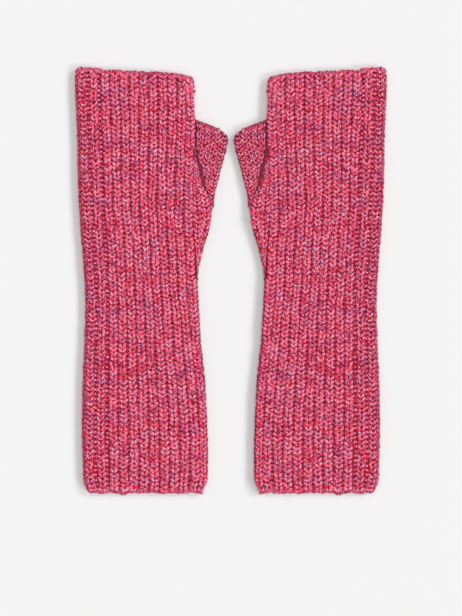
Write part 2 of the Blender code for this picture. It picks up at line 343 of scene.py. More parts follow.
def trough_depth(out, height):
    """How far the soft troughs take the front down."""
    depth = np.zeros_like(out)
    for middle_out, middle_height, half_long, half_wide, slant, deep in TROUGHS:
        turn = math.radians(slant)
        along = (out - middle_out) * math.cos(turn) + (height - middle_height) * math.sin(turn)
        aside = (height - middle_height) * math.cos(turn) - (out - middle_out) * math.sin(turn)
        depth += deep * np.exp(-((along / half_long) ** 2) - (aside / half_wide) ** 2)
    return depth


def hem_wave(share, start):
    """The small uneven waves of a hem, in millimetres."""
    across = NOMINAL_WIDE * share + start
    return sum(tall * np.sin(across / slow) for tall, slow in HEM_WAVES)


print("deepest trough:", max(trough[-1] for trough in TROUGHS), "mm")

# %% [markdown]
# A flat piece of knit could be made first and bent afterwards by modifiers, but that would stretch its
# stitches at the folds. So one function says where each place of the cloth lies, and the stitches are made
# there. It rounds the folds, thins the hems and steps the finger hem down where the side band ends.

# %% Where a place on the hand lies
FOLD_LIFT = 2.9
FRONT_LIFT = 5.75  # the middle of the front's stitches
BACK_LIFT = 1.1  # the middle of the underside's stitches
FOLD_REACH = 2.8
HEM_REACH = 3.0
HEM_THICKNESS = 0.6  # what is left of the tube's thickness at its hems, enough for the slit to show
YARN_INSET = 1.05  # the stitches' middle lies this far inside the outline
FOLD_SWELL = 0.5  # beside the thumb's side the loops stand out a little past the plain cloth
NEAR_FOLD = 12  # a share to this power is felt only close beside a fold
BAND_STEP_SHARE = 0.205
BAND_STEP = (0.45, -0.30)
INNER_CORNER = 3.6  # radius of the finger hem's corner on the thumb's side
FINGER_WIDE = 80.0  # the mitt's width there
CUFF_CORNER = 2.8  # the cuff hem draws in by this much more at each side
CUFF_CORNER_TALL = 8.0
CUFF_CORNER_BEND = 1.4


def on_hand(share, rise, layer, inset=YARN_INSET, sink=0.0):
    """Places at shares of the width from the outer fold in, and of the length from the cuff up.

    inset draws the place in from the outline, and sink moves it into the cloth.
    """
    step = np.where(share < BAND_STEP_SHARE, *BAND_STEP)
    corner = INNER_CORNER * (1.0 - rounded((1.0 - share) * FINGER_WIDE, INNER_CORNER))
    cuff = np.interp(share, read_shares, cuff_hem) + inset + hem_wave(share, 0.0)
    fingers = np.interp(share, read_shares, finger_hem) - inset + hem_wave(share, 4.0) + step - corner
    height = cuff + rise * (fingers - cuff)
    outer, inner = folds(height)
    width = outer - inner
    near_inner = share ** NEAR_FOLD
    near_outer = (1.0 - share) ** NEAR_FOLD
    out = outer - inset - share * (width - 2.0 * inset + FOLD_SWELL) + drawn_in(height) * near_inner
    cuff_corner = CUFF_CORNER * np.clip(1.0 - height / CUFF_CORNER_TALL, 0.0, 1.0) ** CUFF_CORNER_BEND
    out += cuff_corner * (near_inner - near_outer)
    roll = rounded(np.minimum(share, 1.0 - share) * width, FOLD_REACH)
    to_hem = np.minimum(rise, 1.0 - rise) * (fingers - cuff)
    thin = HEM_THICKNESS + (1.0 - HEM_THICKNESS) * rounded(np.clip(to_hem, 0.0, None), HEM_REACH)
    if layer == "front":
        top = FRONT_LIFT - sink - trough_depth(out, height)
        lift = FOLD_LIFT + (top - FOLD_LIFT) * roll * thin
    else:
        lift = FOLD_LIFT - (FOLD_LIFT - BACK_LIFT - sink) * roll * thin
    return np.stack([out, height, lift], axis=-1)


print("mid front:", on_hand(np.array([0.5]), np.array([0.5]), "front").round(1))

# %% [markdown]
# The thumb's cloth follows the same idea, counted from its outer fold. Towards the hand it dips into the
# groove where the hand's fold lies against it, and runs on a little way under that fold.

# %% Where a place on the thumb lies
THUMB_FOLD_LIFT = 2.4
THUMB_FRONT_LIFT = 4.55
THUMB_BACK_LIFT = 1.0
THUMB_FOLD_REACH = 2.8
THUMB_SWELL = 0.8  # the loops at the thumb's fold stand out past the plain cloth too
GROOVE_REACH = 3.2
MOUTH_REACH = 22.0  # how far below the opening its slope still shows
MOUTH_THICKNESS = 0.8
MOUTH_RIM = 1.5  # the rolled rim of the opening stands past the plain cloth
MOUTH_EASE = 0.04  # and slopes a little less than it does
MOUTH_CORNER = 2.8  # radius of the opening's outer corner
MOUTH_CORNER_WIDE = 6.0


def on_thumb(share, rise, layer, inset=YARN_INSET, sink=0.0):
    """Places at shares of the thumb's span from its outer fold in, and from its tip up to its opening."""
    across = share * THUMB_SPAN
    level = THUMB_TIP + inset + rise * (THUMB_HEM + MOUTH_RIM - THUMB_TIP - 2.0 * inset)
    to_mouth = THUMB_HEM + MOUTH_RIM - inset - level
    near_corner = np.exp(-((across / MOUTH_CORNER_WIDE) ** 2))
    corner = MOUTH_CORNER * (1.0 - rounded(to_mouth, MOUTH_CORNER)) * near_corner
    out = np.interp(level, thumb_heights, thumb_fold) + inset - THUMB_SWELL + across + corner
    slope = (MOUTH_SLOPE - MOUTH_EASE) * np.clip(1.0 - (THUMB_HEM - level) / MOUTH_REACH, 0.0, None)
    height = level + across * slope
    roll = rounded(across, THUMB_FOLD_REACH)
    thin = MOUTH_THICKNESS + (1.0 - MOUTH_THICKNESS) * rounded(to_mouth, HEM_REACH)
    groove = rounded(np.clip(crease_line(height) - out, 0.0, None), GROOVE_REACH)
    if layer == "front":
        lift = THUMB_FOLD_LIFT + (THUMB_FRONT_LIFT - sink - THUMB_FOLD_LIFT) * roll * thin * groove
    else:
        lift = THUMB_FOLD_LIFT - (THUMB_FOLD_LIFT - THUMB_BACK_LIFT - sink) * roll * thin
    return np.stack([out, height, lift], axis=-1)


def unit(vectors):
    """Vectors brought to a length of one."""
    return vectors / np.linalg.norm(vectors, axis=-1, keepdims=True)


print("thumb's mid front:", on_thumb(np.array([0.3]), np.array([0.5]), "front").round(1))

# %% [markdown]
# ## Marled wool
#
# The yarn is spun from fibres dyed pink, rose, red, coral and mauve, with a few indigo and pale flecks, so
# its colour changes every millimetre or so, slowly along the yarn as well, and a little from stitch to
# stitch. One shader group makes that colour and the height of the fibres from the object's own coordinates
# and from what each stitch brings with it, and paints shade into that colour. It is a group because the
# cloth, the undersides and the thumbs share it, each with its own amount of painted shade.

# %% Helpers for node trees


def dyed(red, green, blue):
    """A colour given from 0 to 255, as the linear colour that a shader takes."""
    shares = [value / 255.0 for value in (red, green, blue)]
    linear = [s / 12.92 if s <= 0.04045 else ((s + 0.055) / 1.055) ** 2.4 for s in shares]
    return (*linear, 1.0)


class Wiring:
    """Adds nodes to a tree and joins them, so that a recipe reads from top to bottom."""

    def __init__(self, tree):
        self.tree = tree

    def set(self, socket, value):
        if isinstance(value, bpy.types.NodeSocket):
            self.tree.links.new(value, socket)
        else:
            socket.default_value = value

    def node(self, kind, values=None, **settings):
        """Adds a node, sets and joins its inputs, and gives its outputs."""
        made = self.tree.nodes.new(kind)
        for name, value in settings.items():
            setattr(made, name, value)
        for socket, value in (values or {}).items():
            self.set(made.inputs[socket], value)
        return made.outputs

    def math(self, operation, first, second=0.0):
        return self.node("ShaderNodeMath", {0: first, 1: second}, operation=operation)[0]

    def mix(self, amount, first, second, blend="MIX"):
        ends = {0: amount, 6: first, 7: second}
        return self.node("ShaderNodeMix", ends, data_type="RGBA", blend_type=blend)[2]

    def spread(self, value, low, high, to_low=0.0, to_high=1.0):
        return self.node("ShaderNodeMapRange", {0: value, 1: low, 2: high, 3: to_low, 4: to_high})[0]

    def attribute(self, name, kind="FLOAT"):
        return self.node("GeometryNodeInputNamedAttribute", {"Name": name}, data_type=kind)[0]

    def ramp(self, amount, stops):
        made = self.tree.nodes.new("ShaderNodeValToRGB")
        self.set(made.inputs[0], amount)
        elements = made.color_ramp.elements
        while len(elements) < len(stops):
            elements.new(1.0)
        for element, (position, colour) in zip(elements, stops):
            element.position = position
            element.color = colour
        return made.outputs[0]


def new_tree(name, kind, outputs, inputs):
    """A node group with sockets of the kinds given by name, and the wiring to fill it with."""
    tree = bpy.data.node_groups.new(name, kind)
    for way, sockets in (("OUTPUT", outputs), ("INPUT", inputs)):
        for label, socket in sockets.items():
            tree.interface.new_socket(label, in_out=way, socket_type="NodeSocket" + socket)
    return tree, Wiring(tree)


print("a rose dye, as a shader takes it:", [round(share, 2) for share in dyed(250, 80, 112)])

# %% [markdown]
# The order matters: first the marl itself, then the slow zones of warmer and cooler dye, then the flecks, and
# last the painted shade: darker and redder where the wool lies deep in the knit, and a dull wine colour where
# it lies in the shade of a fold.

# %% The marled wool group
WARM_LOT = ((0.365, dyed(166, 0, 40)), (0.432, dyed(235, 18, 66)), (0.50, dyed(250, 80, 112)),
            (0.568, dyed(250, 130, 153)), (0.655, dyed(248, 173, 188)))
COOL_LOT = ((0.365, dyed(110, 8, 76)), (0.432, dyed(187, 45, 113)), (0.50, dyed(224, 104, 156)),
            (0.568, dyed(232, 148, 187)), (0.655, dyed(234, 186, 208)))
# Painted shade: the colour is multiplied by this where the wool lies deep in the knit.
DEEP_SHADE_TINT = (0.81, 0.12, 0.31, 1.0)  # what is left of each colour of light deep in the knit
# Painted shade: the colour that wool in the shade of a fold is mixed towards.
FOLD_SHADE_WINE = dyed(92, 44, 60)  # the dull wine colour of wool in the shade of a fold
MAUVE = dyed(176, 108, 158)
CORAL = dyed(248, 90, 84)
INDIGO = dyed(70, 44, 108)
PALE_FLECK = dyed(234, 190, 206)

# Where in the noise a zone begins and is full, how strong it then is, and its dye.
ZONES = ((0.54, 0.72, 0.13, CORAL), (0.50, 0.32, 0.22, MAUVE))
# Each fleck's colour, the chance that a clump has it, and how strong it is.
FLECKS = ((INDIGO, 0.13, 0.70), (PALE_FLECK, 0.10, 0.45), (CORAL, 0.12, 0.65))


def make_marled_wool():
    group, w = new_tree("marled wool", "ShaderNodeTree", {"Colour": "Color", "Fibre Height": "Float"},
                        {"Place": "Vector", "Stitch": "Float", "Depth": "Float", "Shade": "Float"})
    given = w.node("NodeGroupInput")
    own = w.math("MULTIPLY", given["Stitch"], 40.0)
    mirrored = w.node("ShaderNodeVectorMath", {0: given["Place"]}, operation="ABSOLUTE")[0]

    fibres = w.node("ShaderNodeTexNoise", {"Vector": mirrored, "W": own, "Scale": 980.0, "Detail": 1.3,
                                           "Roughness": 0.6}, noise_dimensions="4D")[0]
    lot = w.math("MULTIPLY", w.math("SUBTRACT", given["Stitch"], 0.5), 0.05)
    paleness = w.math("ADD", fibres, lot)
    blend = w.node("ShaderNodeTexNoise", {"Vector": mirrored, "W": w.math("SUBTRACT", 50.0, own),
                                          "Scale": 640.0, "Detail": 1.0}, noise_dimensions="4D")[0]
    cool = w.spread(blend, 0.485, 0.585)
    colour = w.mix(cool, w.ramp(paleness, WARM_LOT), w.ramp(paleness, COOL_LOT))

    # The dye also changes slowly along the yarn, so its zones lie across the mitt, a few courses deep.
    stretched = w.node("ShaderNodeMapping", {"Vector": mirrored, "Scale": (45.0, 120.0, 45.0)})[0]
    zone = w.node("ShaderNodeTexNoise", {"Vector": stretched, "Scale": 1.0, "Detail": 2.0})[0]
    for begins, full, strength, dye in ZONES:
        colour = w.mix(w.spread(zone, begins, full, 0.0, strength), colour, dye)

    # Flecks are short clumps of fibre in one strong colour.
    clumps = w.node("ShaderNodeTexVoronoi", {"Vector": mirrored, "W": own, "Scale": 560.0},
                    voronoi_dimensions="4D")
    inside = w.spread(clumps["Distance"], 0.60, 0.34)
    lots = w.node("ShaderNodeSeparateColor", {0: clumps["Color"]})
    for drawn, (fleck, chance, strength) in zip(lots, FLECKS):
        chosen = w.math("LESS_THAN", drawn, chance)
        amount = w.math("MULTIPLY", w.math("MULTIPLY", inside, chosen), strength)
        colour = w.mix(amount, colour, fleck)

    # Painted shade: deep in the knit the colour is multiplied by a red tint, and in the shade of a fold it is
    # mixed towards a dull wine colour.
    colour = w.mix(given["Depth"], colour, DEEP_SHADE_TINT, blend="MULTIPLY")
    colour = w.mix(given["Shade"], colour, FOLD_SHADE_WINE)
    w.node("NodeGroupOutput", {"Colour": colour, "Fibre Height": fibres})
    return group


marled_wool = make_marled_wool()
print("marled wool group:", len(marled_wool.nodes), "nodes")

# %% [markdown]
# Each material puts the group in with its own amounts of painted shade. Wool is matt with a soft sheen from
# its loose fibres, so the sheen is set on the shader itself, and the fibres and the twist of the yarn's two
# plies go to a bump. Light reaches the wool between the loops only through other red fibres, so there it
# looks darker and redder, and that shade is painted into the colour: every stitch knows how deep each of its
# points lies, and the material darkens the wool by that. Shade of a fold is painted too: along the mitt's
# edges and in the crease the wool is made duller.

# %% Wool materials with painted shade
PLY_LEAN = 2.3  # how fast the two plies turn round the yarn, in radians for each millimetre
PLY_HEIGHT = 0.35  # how far they stand out, where the fibres' own height is 1
FIBRE_BUMP = 0.00022
# Painted shade: how far the deepest points of a stitch are darkened.
DEEP_SHADE_SHARE = 0.84  # how far a stitch's deepest points take on the deep tint
SHEEN = {"Specular IOR Level": 0.10, "Sheen Weight": 0.10, "Sheen Roughness": 0.50,
         "Sheen Tint": (1.0, 0.66, 0.74, 1.0)}

# How much painted shade each wool takes for lying deep in the knit, how much painted shade of a fold (both 0
# to 1), and how rough it is.
WOOL_SHADES_AND_ROUGHNESS = {
    "rib wool": (0.0, 0.0, 0.88),
    "thumb wool": (0.03, 0.05, 0.88),
    "underside wool": (0.06, 0.05, 0.90),
    "gutter wool": (0.30, 0.05, 0.92),
    "edge wool": (0.05, 0.31, 0.92),
    "inner edge wool": (0.10, 0.62, 0.92),
    "ground wool": (0.90, 0.12, 0.95),
    "crease wool": (0.62, 0.60, 0.95),
}


# A wool material; depth and shade are amounts of painted shade, for lying deep in the knit and in the shade
# of a fold.
def make_wool(name, depth, shade, roughness):
    material = bpy.data.materials.new(name)
    material.use_nodes = True
    w = Wiring(material.node_tree)

    def brought(label, output):
        """What each stitch brings with it under a name."""
        return w.node("ShaderNodeAttribute", attribute_name=label)[output]

    # Painted shade, from nothing at a stitch's crown to most at its deepest points.
    deep = w.spread(brought("below_crown", "Fac"), 0.25, 1.0, depth, DEEP_SHADE_SHARE + 0.2 * depth)
    place = w.node("ShaderNodeTexCoord")["Object"]
    wool = w.node("ShaderNodeGroup", {"Place": place, "Stitch": brought("stitch_lot", "Fac"), "Depth": deep,
                                      "Shade": shade}, node_tree=marled_wool)
    strand = w.node("ShaderNodeSeparateXYZ", {0: brought("strand", "Vector")})
    around = w.math("ARCTAN2", strand[1], strand[2])
    turned = w.math("ADD", w.math("MULTIPLY", around, 2.0), w.math("MULTIPLY", strand[0], PLY_LEAN))
    ply = w.math("MULTIPLY", w.math("COSINE", turned), PLY_HEIGHT)
    height = w.math("ADD", ply, wool["Fibre Height"])
    bump = w.node("ShaderNodeBump", {"Height": height, "Distance": FIBRE_BUMP, "Strength": 0.9})[0]
    shader = material.node_tree.nodes["Principled BSDF"]
    looks = {"Base Color": wool["Colour"], "Normal": bump, "Roughness": roughness, **SHEEN}
    for socket, value in looks.items():
        w.set(shader.inputs[socket], value)
    return material


wools = {name: make_wool(name, *shades_and_roughness) for name, shades_and_roughness in WOOL_SHADES_AND_ROUGHNESS.items()}
print("finishes:", list(wools))

# %% [markdown]
# ## The ground cloth
#
# Behind the stitches that face us lies the back of the knit: the loops' heads and the yarn that runs from rib
# to rib. It shows only as the floor of the gutters, dark from real shade and from painted shade in its wool,
# so it is one thin cloth, a tube with the slit inside it. Geometry Nodes raise its ribs and ripple its
# courses, because both follow a rule: how far across a column, and how far up a course, each point is.

# %% A tree that raises ribs and ripples courses


def make_rib_raiser():
    tree, w = new_tree("raise ribs", "GeometryNodeTree", {"Cloth": "Geometry"},
                       {"Cloth": "Geometry", "Rib Height": "Float", "Course Ripple": "Float",
                        "Wool": "Material"})
    given = w.node("NodeGroupInput")
    # |sin| of half a turn a column is a round rib with a sharp gutter on each side.
    rib = w.math("ABSOLUTE", w.math("SINE", w.math("MULTIPLY", w.attribute("column"), math.pi)))
    course = w.math("SINE", w.math("MULTIPLY", w.attribute("course"), 2.0 * math.pi))
    raised = w.math("MULTIPLY", rib, given["Rib Height"])
    rippled = w.math("MULTIPLY", course, given["Course Ripple"])
    shift = w.math("MULTIPLY", w.math("ADD", raised, rippled), w.attribute("outside"))
    facing = w.node("GeometryNodeInputNormal")[0]
    offset = w.node("ShaderNodeVectorMath", {0: facing, "Scale": shift}, operation="SCALE")[0]
    moved = w.node("GeometryNodeSetPosition", {"Geometry": given["Cloth"], "Offset": offset})[0]
    real = w.node("GeometryNodeRealizeInstances", {"Geometry": moved})[0]
    done = w.node("GeometryNodeSetMaterial", {"Geometry": real, "Material": given["Wool"]})[0]
    w.node("NodeGroupOutput", {"Cloth": done})
    return tree


def worked(source, tree, **inputs):
    """What a Geometry Nodes tree makes of an object, as a new object of its name with a plain mesh."""
    modifier = source.modifiers.new("worked", "NODES")
    modifier.node_group = tree
    for item in tree.interface.items_tree:
        label = item.name.lower().replace(" ", "_")
        if item.in_out == "INPUT" and label in inputs:
            modifier[item.identifier] = inputs[label]
    bpy.context.scene.collection.objects.link(source)
    bpy.context.view_layer.update()
    evaluated = source.evaluated_get(bpy.context.evaluated_depsgraph_get())
    mesh = bpy.data.meshes.new_from_object(evaluated)
    name = source.name
    bpy.data.objects.remove(source)
    mesh.name = name
    return bpy.data.objects.new(name, mesh)


rib_raiser = make_rib_raiser()
print("rib raiser:", len(rib_raiser.nodes), "nodes")

# %% [markdown]
# A closed tube of cloth is a ring of rings: up the outside from cuff to fingers, over the hem, back down the
# inside of the slit and over the cuff. Each ring goes once round the flat tube, over the front and back
# along the underside. That closes the mesh without a single hand-made cap.

# %% Building a closed tube
GROUND_INSET = 1.9
SLIT_INSET = 3.2
SLIT_HALF = 0.2
SLIT_FLARE = 0.25  # the slit opens by this much more at each hem
HEM_COURSES = 2.0  # over this many courses from a hem, the ribs rise and the slit narrows
POINTS_A_COLUMN = 6


def in_metres(places):
    """Places (out, height, lift) in millimetres as points in the frame, in metres."""
    return (places + np.array([0.0, CUFF_Y, 0.0])) * MM


def closed_tube(name, rings, attributes):
    """A mesh from rings of places, joined ring to ring and the last ring to the first."""
    count, around, _ = rings.shape
    index = np.arange(count * around).reshape(count, around)
    beside = np.roll(index, -1, axis=1)
    above = np.roll(index, -1, axis=0)
    corner = np.roll(above, -1, axis=1)
    quads = np.stack([index, beside, corner, above], axis=-1).reshape(-1, 4)
    mesh = bpy.data.meshes.new(name)
    mesh.from_pydata(in_metres(rings).reshape(-1, 3), [], quads.tolist())
    solid = bmesh.new()
    solid.from_mesh(mesh)
    if solid.calc_volume(signed=True) < 0.0:
        mesh.flip_normals()
    solid.free()
    for label, values in attributes.items():
        layer = mesh.attributes.new(label, "FLOAT", "POINT")
        layer.data.foreach_set("value", values.astype(np.float32))
    mesh.shade_smooth()
    return bpy.data.objects.new(name, mesh)


def tube_rings(surface, shares_at, over, under, rises, courses, fold_lift, sinks, slit_every):
    """Rings up the outside of a flat tube and down its slit, with what the rib raiser needs.

    shares_at gives the shares of the width at a rise, for the columns over the front and under it.
    """
    columns = np.concatenate([over, under])
    bulge = np.concatenate([np.sin(np.linspace(0.0, math.pi, len(over))),
                            -np.sin(np.linspace(0.0, math.pi, len(under) + 2))[1:-1]])

    def ring(rise, inset, sinks):
        over_shares, under_shares = shares_at(rise)
        front = surface(over_shares, np.full(len(over), rise), "front", inset, sinks[0])
        back = surface(under_shares, np.full(len(under), rise), "back", inset, sinks[1])
        return np.concatenate([front, back])

    def clear_of_hem(rise):
        return rounded(min(rise, 1.0 - rise) * courses, HEM_COURSES)

    rings = []
    marks = []
    for rise in rises:
        rings.append(ring(rise, GROUND_INSET, sinks))
        marks.append((rise * courses, clear_of_hem(rise)))
    for rise in rises[::-slit_every]:
        slit = ring(rise, SLIT_INSET, (0.0, 0.0))
        slit[:, 2] = fold_lift + (SLIT_HALF + SLIT_FLARE * (1.0 - clear_of_hem(rise))) * bulge
        rings.append(slit)
        marks.append((0.0, 0.0))
    course, outside = (np.repeat(values, len(columns)) for values in zip(*marks))
    return np.array(rings), {"column": np.tile(columns, len(rings)), "course": course, "outside": outside}


print("the slit at a hem:", 2.0 * (SLIT_HALF + SLIT_FLARE), "mm")

# %% [markdown]
# The hand's cloth takes two rings a course and six points a column. More would round its ribs better, but
# hardly any of it shows between the stitches.

# %% The hand's ground cloth
HAND_SINKS = (1.95, 0.95)  # how far the ground lies inside the front's and the underside's stitches
RIB_HEIGHT = 0.0006  # in metres, as the tree takes it
HAND_RIPPLE = 0.00012
COURSE = 3.3
HAND_COURSES = round(HAND_LENGTH / COURSE)
RINGS_A_COURSE = 2


def column_steps(borders):
    """Column numbers at even steps across all columns."""
    columns = borders(MID_HEIGHT).shape[1] - 1
    return np.linspace(0.0, columns, columns * POINTS_A_COLUMN + 1)


def border_share(borders, columns):
    """Shares of the width for column numbers, between the borders of a height."""
    return np.interp(columns, np.arange(len(borders)), borders)


def hand_ground():
    over = column_steps(front_borders)
    under = column_steps(back_borders)[::-1][1:-1]

    def shares_at(rise):
        height = np.array([READ_FROM + rise * (READ_TO - READ_FROM)])
        return border_share(front_borders(height)[0], over), border_share(back_borders(height)[0], under)

    rises = np.linspace(0.0, 1.0, HAND_COURSES * RINGS_A_COURSE)
    rings, marks = tube_rings(on_hand, shares_at, over, under, rises, HAND_COURSES, FOLD_LIFT, HAND_SINKS,
                              slit_every=8)
    # The ground wool carries the most painted shade of the deep knit.
    return worked(closed_tube("right_hand_ground", rings, marks), rib_raiser, rib_height=RIB_HEIGHT,
                  course_ripple=HAND_RIPPLE, wool=wools["ground wool"])


right_pieces = {"hand_ground": hand_ground()}
print("hand ground:", len(right_pieces["hand_ground"].data.polygons), "faces")

# %% [markdown]
# The thumb's ground is made the same way. Its span shrinks towards the tip, where only its outermost
# column is left, and it always ends a little way under the hand's fold, so no gap opens beside the hand.

# %% The thumb's ground cloth
THUMB_TUCK = 2.2  # how far under the hand's fold it ends
THUMB_SINKS = (1.30, 0.65)
THUMB_RIPPLE = 0.0001
THUMB_RINGS, THUMB_RIPPLES = 40, 16


def thumb_ground():
    over = np.linspace(0.0, 1.0, 5 * POINTS_A_COLUMN + 1)
    under = over[::-1][1:-1]

    def shares_at(rise):
        """Shares of the span from the fold to just under the hand."""
        shares = np.linspace(0.0, 1.0, 200)
        places = on_thumb(shares, np.full(200, rise), "front", GROUND_INSET)
        beyond = places[:, 0] - crease_line(places[:, 1])
        reach = np.interp(THUMB_TUCK, beyond, shares)
        return over * reach, under * reach

    rises = np.linspace(0.0, 1.0, THUMB_RINGS)
    rings, marks = tube_rings(on_thumb, shares_at, over, under, rises, THUMB_RIPPLES, THUMB_FOLD_LIFT,
                              THUMB_SINKS, slit_every=5)
    # The thumb's ground takes the crease wool, with its painted shade.
    return worked(closed_tube("right_thumb_ground", rings, marks), rib_raiser, rib_height=0.0,
                  course_ripple=THUMB_RIPPLE, wool=wools["crease wool"])


right_pieces["thumb_ground"] = thumb_ground()
print("thumb ground:", len(right_pieces["thumb_ground"].data.polygons), "faces")

# %% [markdown]
# ## Stitches
#
# A knit stitch shows as a V: two legs of yarn that come up through the loop below, spread over the rib's
# crown and tuck in behind the loop above. Each leg is a short tapering tube, round at the crown and sunk at
# both ends, in a few dozen faces, because there are thousands of them. Other columns use other proportions
# of the same leg. A purl bump, which fills gutters and seams, is a short bar of yarn across the column.

# %% The shapes of stitches
YARN_SIDES = 6
NOMINAL_HALF_WIDTH = 3.4
CROWN = 1.15  # how far out of the cloth a stitch's highest points lie
DEEPEST = 2.6  # how far below them its ends are

# Points along a leg: across from the column's middle, up the column, out of the cloth, and the yarn's radius.
RIB_LEG = (
    (0.32, -1.90, -0.80, 0.80),
    (0.62, -1.22, -0.10, 1.12),
    (1.24, -0.45, 0.12, 1.28),
    (1.86, 0.34, 0.00, 1.24),
    (2.30, 1.00, -0.50, 1.02),
    (2.46, 1.55, -1.20, 0.72),
)
PLAIN_LEG = (
    (0.34, -2.00, -1.05, 0.70),
    (0.80, -1.22, -0.20, 1.02),
    (1.64, -0.25, 0.12, 1.20),
    (2.48, 0.72, -0.08, 1.16),
    (3.02, 1.52, -0.75, 0.92),
    (3.10, 2.00, -1.45, 0.65),
)
FLAT_LEG = (
    (0.12, -1.55, -0.75, 0.72),
    (0.66, -1.00, -0.05, 1.06),
    (1.62, -0.32, 0.08, 1.20),
    (2.60, 0.42, 0.00, 1.16),
    (3.20, 1.02, -0.50, 0.92),
    (3.40, 1.45, -1.15, 0.65),
)
PRESSED_LEG = (
    (0.35, -1.90, -0.80, 0.70),
    (1.10, -0.90, 0.05, 1.15),
    (2.35, 0.70, 0.05, 1.18),
    (3.10, 2.00, -0.90, 0.75),
)
FOLD_LEG = (
    (0.30, -1.90, -1.30, 0.60),
    (0.80, -1.00, -0.20, 1.00),
    (1.90, 0.10, -0.15, 1.10),
    (2.80, 1.10, -1.00, 0.90),
    (3.10, 1.80, -1.90, 0.60),
)
PURL_BAR = (
    (-2.90, -0.75, -1.50, 0.70),
    (-1.60, 0.20, -0.15, 0.92),
    (0.00, 0.40, 0.20, 0.98),
    (1.60, 0.20, -0.15, 0.92),
    (2.90, -0.75, -1.50, 0.70),
)
HEM_LEG = (
    (0.10, -2.30, -0.70, 0.70),
    (0.45, -1.20, 0.00, 1.05),
    (0.95, 0.20, 0.15, 1.15),
    (1.35, 1.50, -0.25, 1.00),
    (1.50, 2.40, -0.90, 0.70),
)
# Where a rib is half hidden, one wider and thicker leg runs up its middle.
HALF_RIB = [(across * 1.5 - 1.9, up, out, radius * 1.15) for across, up, out, radius in RIB_LEG]


def both_legs(leg):
    """A leg and its mirror image, which make a V."""
    return leg, [(-across, up, out, radius) for across, up, out, radius in leg]


# The setter takes shapes from the book in the order of their names, so each name starts with a letter.
STITCHES = {
    "a_rib": both_legs(RIB_LEG),
    "b_plain": both_legs(PLAIN_LEG),
    "c_flat": both_legs(FLAT_LEG),
    "d_pressed": both_legs(PRESSED_LEG),
    "e_fold": both_legs(FOLD_LEG),
    "f_purl": (PURL_BAR,),
    "g_half_rib": (HALF_RIB,),
    "h_hem": both_legs(HEM_LEG),
}
KINDS = {name: place for place, name in enumerate(sorted(STITCHES))}
print("kinds of stitch:", list(KINDS))

# %% [markdown]
# A curve with a round profile could be the yarn, but the wool needs to know how far along and how far round
# the yarn each point lies, for its plies, and how deep, for the shade that is painted into its colour. So a
# ring of corners is swept along each path with these three noted on it, and the rings are joined.

# %% Sweeping yarn along a path


def add_yarn(shape, path, strand_layer, below_layer):
    """Sweeps a closed tapering tube of yarn along a path of (across, up, out, radius)."""
    points = [Vector(point[:3]) for point in path]
    rings = []
    length = 0.0
    for place, point in enumerate(points):
        before = points[max(place - 1, 0)]
        after = points[min(place + 1, len(points) - 1)]
        heading = (after - before).normalized()
        aside = heading.cross(Vector((0.0, 0.0, 1.0))).normalized()
        upward = aside.cross(heading)
        length += (point - before).length
        ring = []
        for step in range(YARN_SIDES):
            turn = 2.0 * math.pi * step / YARN_SIDES
            spoke = aside * math.cos(turn) + upward * math.sin(turn)
            spot = point + spoke * path[place][3]
            corner = shape.verts.new(spot * MM)
            corner[strand_layer] = Vector((length, math.sin(turn), math.cos(turn)))
            # How far below the crown a point lies, which the wool turns into painted shade.
            corner[below_layer] = min(max((CROWN - spot.z) / DEEPEST, 0.0), 1.0)
            ring.append(corner)
        rings.append(ring)
    for ring, following in zip(rings, rings[1:]):
        for step in range(YARN_SIDES):
            beside = (step + 1) % YARN_SIDES
            shape.faces.new((ring[step], ring[beside], following[beside], following[step]))
    shape.faces.new(rings[0][::-1])
    shape.faces.new(rings[-1])


def stitch_shape(name, paths):
    """A stitch made of one or more lengths of yarn, as an object for the setter to place."""
    shape = bmesh.new()
    strand_layer = shape.verts.layers.float_vector.new("strand")
    below_layer = shape.verts.layers.float.new("below_crown")
    for path in paths:
        add_yarn(shape, path, strand_layer, below_layer)
    bmesh.ops.recalc_face_normals(shape, faces=shape.faces)
    mesh = bpy.data.meshes.new(name)
    shape.to_mesh(mesh)
    shape.free()
    mesh.shade_smooth()
    return bpy.data.objects.new(name, mesh)


stitch_book = bpy.data.collections.new("stitch shapes")
for name, paths in STITCHES.items():
    stitch_book.objects.link(stitch_shape(name, paths))

# %% [markdown]
# The setter is a Geometry Nodes tree. It stands a stitch on every point of a bed, turned up its column and
# out of the cloth, shifts and tilts each one a little, as hand and machine knitting both do, gives it a lot
# number that the wool reads, presses what would sink below the surface flat, and makes the instances real.

# %% A tree that sets stitches on a bed


